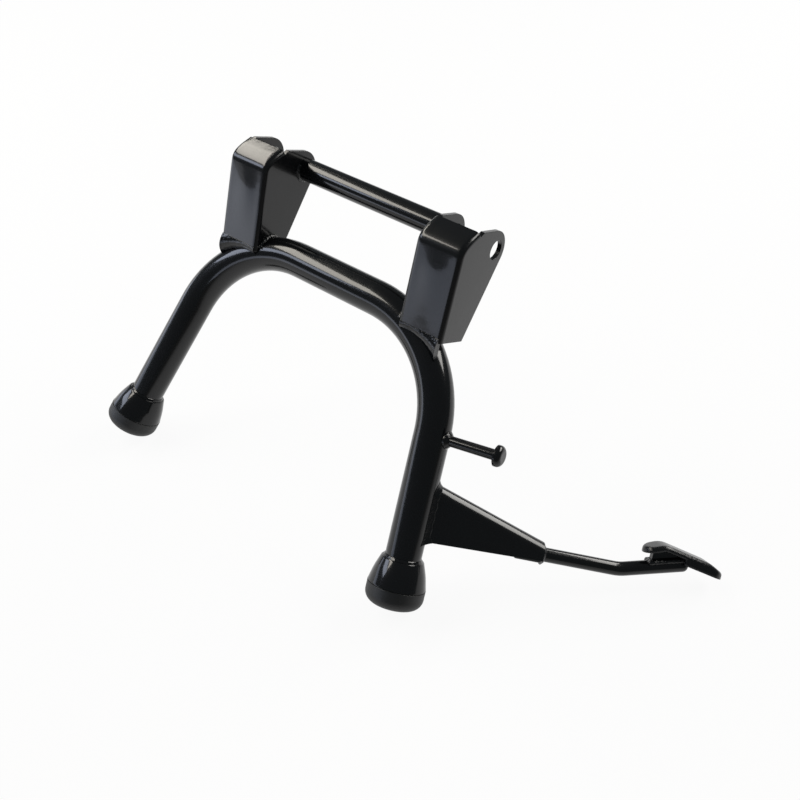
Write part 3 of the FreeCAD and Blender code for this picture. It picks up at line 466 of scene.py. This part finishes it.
def web_weld(side, name):
    points = []
    for k in range(WEB_WELD_ROWS + 1):
        share = k / WEB_WELD_ROWS
        x = FLANGE_IN + WEB_WELD_INSET + (FLANGE_OUT - FLANGE_IN - 2 * WEB_WELD_INSET) * share
        ripple = waver(k, WEB_WELD_WAVES)
        high = Vector((x, WEB_WELD_TOP[0], WEB_WELD_TOP[1] - ripple))
        low = tube_front(x, WEB_WELD_LOW + WEB_WELD_LOW_SHIFT * share)
        low.z += ripple - WEB_WELD_SAG * (1 - share) ** WEB_WELD_SAG_POWER
        swell = (high - low).length * WEB_WELD_SWELL * (1 + WEB_WELD_UNEVEN * ripple)
        normal = Vector((0, low.z - high.z, high.y - low.y)).normalized()
        for j in range(WEB_WELD_RING):
            t = j / (WEB_WELD_RING - 1)
            point = high.lerp(low, t) + normal * (swell * t * (1 - t))
            points.append((side * point.x, point.y, point.z))
        points.append((side * x, low.y + WEB_WELD_SEAT[0], low.z + WEB_WELD_SEAT[1]))
        points.append((side * x, *WEB_WELD_BACK))
    return solid_mesh(name, points, rod_faces(WEB_WELD_ROWS + 1, WEB_WELD_RING + 2))


for side, name in SIDES:
    dress(web_weld(side, name + "_web_bead"), bead, name + "_web_weld", smooth=BEAD_ANGLE)


# Bells: cups with a lip round the neck and a slightly convex cone down to the sole. Their outline is
# given as radius, distance down the leg and the corner's radius.

BELL = [
    (15.9, 0, 0),
    (18.2, 0, 0),
    (19.0, 0.8, 0),
    (23.0, 11.8, 70.0),
    (25.5, 22.6, 0),
    (25.5, 23.6, 0),
    (25.0, 24.0, 0),
    (23.1, 24.0, 0),
    (15.9, 6.0, 0),
]
BELL_STEPS = 14


def turned(name, centre, axis, profile, count=96):
    """A closed profile turned round an axis."""
    first = Vector((0, 1, 0))
    second = axis.cross(first)
    points = []
    for radius, drop in profile:
        points += circle(centre + axis * drop, first, second, radius, count)
    faces = []
    rows = len(profile)
    for row in range(rows):
        below = (row + 1) % rows * count
        for k in range(count):
            beside = (k + 1) % count
            faces.append([row * count + k, row * count + beside, below + beside, below + k])
    return solid_mesh(name, points, faces)


for side, name in SIDES:
    end = Vector((side * LEG_END.x, LEG_END.y, LEG_END.z))
    down = Vector((side * math.sin(SPLAY), 0, -math.cos(SPLAY)))
    bell = turned(name + "_bell_dressed", end, down, rounded(BELL, BELL_STEPS))
    dress(bell, gloss, name + "_foot_bell")


# Gusset: one sheet bent to a U over the pedal arm, scribed to the leg at its root. Its own frame has
# X along the pedal arm and Z up the leg, from a point on the leg's axis.

GUSSET_HALF = 9.35
GUSSET_SHEET = 3.0
GUSSET_LENGTH = 119.0
GUSSET_TOP = 47.4
GUSSET_FALL = 36.6
GUSSET_SLANT = 1.046
SKIRT_ROOT = -7.2
SKIRT_TIP = -4.2
PEDAL_HEIGHT = 26.4
SKIRT_TURNS = (0.33, 0.66)
ROUND_STEPS = 24
GUSSET_ROWS = 20

tilt = Matrix.Rotation(-SPLAY, 3, "Y") @ Matrix.Rotation(SWING, 3, "Z")
pedal_origin = LEG_END + Vector((-math.sin(SPLAY), 0, math.cos(SPLAY))) * PEDAL_HEIGHT


def pedal_side(point):
    """A point of the gusset's own frame in the upright stand."""
    return pedal_origin + tilt @ point


def gusset_point(share, turn, inset=0.0):
    """A point along the gusset and round its U, from the front edge over the top to the rear edge."""
    half = GUSSET_HALF - inset
    round_it = min(max(turn, 0.0), 1.0)
    y = -half * math.cos(math.pi * round_it)
    start = math.sqrt(TUBE_RADIUS ** 2 - y * y)
    x = start + (GUSSET_LENGTH - start) * share
    top = GUSSET_TOP - GUSSET_FALL * x / GUSSET_LENGTH
    spring = top - GUSSET_SLANT * GUSSET_HALF
    if turn == round_it:
        return Vector((x, y, spring + GUSSET_SLANT * half * math.sin(math.pi * turn)))
    skirt = SKIRT_ROOT + (SKIRT_TIP - SKIRT_ROOT) * x / GUSSET_LENGTH
    return Vector((x, y, spring + (skirt - spring) * abs(turn - round_it)))


def gusset(name):
    turns = [-1] + [-turn for turn in reversed(SKIRT_TURNS)]
    turns += [k / ROUND_STEPS for k in range(ROUND_STEPS + 1)]
    turns += [1 + turn for turn in SKIRT_TURNS] + [2]
    shares = [k / GUSSET_ROWS for k in range(GUSSET_ROWS + 1)]
    outer = [pedal_side(gusset_point(share, turn)) for share in shares for turn in turns]
    inner = [pedal_side(gusset_point(share, turn, GUSSET_SHEET)) for share in shares for turn in turns]
    return folded_sheet(name, outer, inner, grid_faces(len(shares), len(turns)))


dress(gusset("gusset_dressed"), sheet, "pedal_gusset")


# The gusset's weld: a soft fillet round its root that flares at its two lower ends.

FILLET_RING = 7
FILLET_LENGTH = 106.0
FILLET_ON_GUSSET = 4.2
FILLET_ON_LEG = 4.0
FILLET_FLARE = 3.0
FILLET_LEG_FLARE = 2.0
FILLET_DROP = 4.0
FILLET_MIDDLE_DROP = 1.5
FLARE_REACH = 1 / 6
PROUD = 0.15
LEG_PROUD = 0.1
SEAT_DEPTH = 0.8
SEAT_SHIFT = 0.4
MIDDLE_SHIFT = 1.0
MIDDLE_PROUD = 1.0
GUSSET_WAVES = ((0.5, 1.7),)
LEG_WAVES = ((0.4, 2.3),)
SKIRT_SPAN = 0.98
SKIRT_STEPS = 14
TOP_STEPS = 20


def gusset_fillet(name):
    down_skirt = [SKIRT_SPAN * k / SKIRT_STEPS for k in range(SKIRT_STEPS + 1)]
    over_top = [k / TOP_STEPS for k in range(1, TOP_STEPS)]
    stations = [-1] + [-turn for turn in reversed(down_skirt)] + over_top
    stations += [1 + turn for turn in down_skirt] + [2]
    points = []
    for k, turn in enumerate(stations):
        flare = max(0.0, 1 - min(turn + 1, 2 - turn) / FLARE_REACH)
        round_it = min(max(turn, 0.0), 1.0)
        outward = Vector((0, -math.cos(math.pi * round_it), math.sin(math.pi * round_it)))
        root = gusset_point(0, turn)
        width = FILLET_ON_GUSSET + waver(k, GUSSET_WAVES) + FILLET_FLARE * flare
        on_gusset = gusset_point(width / FILLET_LENGTH, turn) + outward * PROUD
        on_leg = root + outward * (FILLET_ON_LEG + waver(k, LEG_WAVES) + FILLET_LEG_FLARE * flare)
        to_leg = (TUBE_RADIUS + LEG_PROUD) / math.hypot(on_leg.x, on_leg.y)
        on_leg = Vector((on_leg.x * to_leg, on_leg.y * to_leg, on_leg.z - FILLET_DROP * flare))
        middle = root + outward * MIDDLE_PROUD + Vector((MIDDLE_SHIFT, 0, -FILLET_MIDDLE_DROP * flare))
        for j in range(FILLET_RING):
            t = j / (FILLET_RING - 1)
            curve = on_gusset * (1 - t) ** 2 + middle * (2 * t * (1 - t)) + on_leg * t ** 2
            points.append(pedal_side(curve))
        points.append(pedal_side(root - outward * SEAT_DEPTH + Vector((SEAT_SHIFT, 0, 0))))
    return solid_mesh(name, points, rod_faces(len(stations), FILLET_RING + 1))


dress(gusset_fillet("gusset_bead"), bead, "gusset_weld", smooth=BEAD_ANGLE)


# Floor: white to the camera, to reflections and through glass, with a share left to take the shadow.
# Seen in the paint it falls off towards the camera's side, where no lamp reaches.

FLOOR = min(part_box(name)[0].z for name in ("left_foot_sole", "right_foot_sole", "pedal_tread"))
FLOOR_GAP = 0.0005
FLOOR_SIZE = 30
FLOOR_GREY = 0.8
SHADOW_SHARE = 0.07
FALL_FULL = 0.75
FALL_START = 0.10
FALL_END = 0.80
FALL_LEVEL = 0.10


def floor_material():
    material = bpy.data.materials.new("floor_white")
    material.use_nodes = True
    tree = material.node_tree
    tree.nodes.clear()

    def math_node(operation, first, second):
        node = tree.nodes.new("ShaderNodeMath")
        node.operation = operation
        node.use_clamp = True
        for socket, value in zip(node.inputs, (first, second)):
            if isinstance(value, float):
                socket.default_value = value
            else:
                tree.links.new(value, socket)
        return node.outputs[0]

    path = tree.nodes.new("ShaderNodeLightPath")
    seen = math_node("ADD", path.outputs["Is Camera Ray"], path.outputs["Is Glossy Ray"])
    seen = math_node("ADD", seen, path.outputs["Is Transmission Ray"])
    place = tree.nodes.new("ShaderNodeNewGeometry")
    across = tree.nodes.new("ShaderNodeVectorMath")
    across.operation = "DOT_PRODUCT"
    across.inputs[1].default_value = (math.sqrt(0.5), -math.sqrt(0.5), 0)
    tree.links.new(place.outputs["Position"], across.inputs[0])
    fall = tree.nodes.new("ShaderNodeMapRange")
    fall.interpolation_type = "SMOOTHSTEP"
    for socket, value in (
        ("From Min", FALL_START),
        ("From Max", FALL_END),
        ("To Min", FALL_FULL),
        ("To Max", FALL_LEVEL),
    ):
        fall.inputs[socket].default_value = value
    tree.links.new(across.outputs["Value"], fall.inputs["Value"])
    strength = math_node("MAXIMUM", fall.outputs["Result"], path.outputs["Is Camera Ray"])

    emission = tree.nodes.new("ShaderNodeEmission")
    emission.inputs["Color"].default_value = (1, 1, 1, 1)
    tree.links.new(strength, emission.inputs["Strength"])
    diffuse = tree.nodes.new("ShaderNodeBsdfDiffuse")
    diffuse.inputs["Color"].default_value = (FLOOR_GREY, FLOOR_GREY, FLOOR_GREY, 1)
    mix = tree.nodes.new("ShaderNodeMixShader")
    tree.links.new(math_node("MULTIPLY", seen, 1 - SHADOW_SHARE), mix.inputs["Fac"])
    tree.links.new(diffuse.outputs[0], mix.inputs[1])
    tree.links.new(emission.outputs[0], mix.inputs[2])
    output = tree.nodes.new("ShaderNodeOutputMaterial")
    tree.links.new(mix.outputs[0], output.inputs["Surface"])
    return material


bpy.ops.mesh.primitive_plane_add(size=FLOOR_SIZE, location=(0, 0, FLOOR - FLOOR_GAP))
floor = bpy.context.active_object
floor.name = "floor"
floor.data.materials.append(floor_material())

# World: a dim, slightly blue room.

ROOM_COLOUR = (0.85, 0.95, 1.0)
ROOM_LEVEL = 0.12

world = bpy.data.worlds.new("world")
scene.world = world
world.use_nodes = True
around = world.node_tree.nodes["Background"]
around.inputs["Color"].default_value = (*ROOM_COLOUR, 1)
around.inputs["Strength"].default_value = ROOM_LEVEL


# Softboxes: each is given by the direction and distance in metres at which it stands from the aim,
# its width and height, its brightness, its colour and its roll in degrees.

AIM = Vector((0, -0.06, -0.1))
WARM = (1.0, 0.95, 0.86)
COOL = (0.85, 0.93, 1.12)
PALE_COOL = (0.84, 0.92, 1.12)
NEARLY_WHITE = (1.0, 0.98, 0.94)


def softbox(name, azimuth, elevation, distance, width, height, brightness, colour, roll=0.0):
    data = bpy.data.lights.new(name, "AREA")
    data.shape = "RECTANGLE"
    data.size = width
    data.size_y = height
    data.energy = brightness * math.pi * width * height
    data.color = colour
    light = bpy.data.objects.new(name, data)
    scene.collection.objects.link(light)
    turn, lift = math.radians(azimuth), math.radians(elevation)
    towards = Vector((math.cos(lift) * math.cos(turn), math.cos(lift) * math.sin(turn), math.sin(lift)))
    light.location = AIM + towards * distance
    facing = (-towards).to_track_quat("-Z", "Y").to_matrix()
    light.rotation_euler = (facing @ Matrix.Rotation(math.radians(roll), 3, "Z")).to_euler()


softbox("window", -171, 47, 2.4, 2.7, 0.62, 8.5, WARM, roll=8)
softbox("blue_strip", -148, 27, 2.4, 1.5, 0.5, 4.8, COOL, roll=15)
softbox("back_window", 62, 34, 2.6, 2.2, 0.9, 8.0, NEARLY_WHITE, roll=-25)
softbox("low_fill", -135, -3, 1.1, 2.2, 0.2, 1.4, PALE_COOL)

scene.view_settings.view_transform = "Standard"
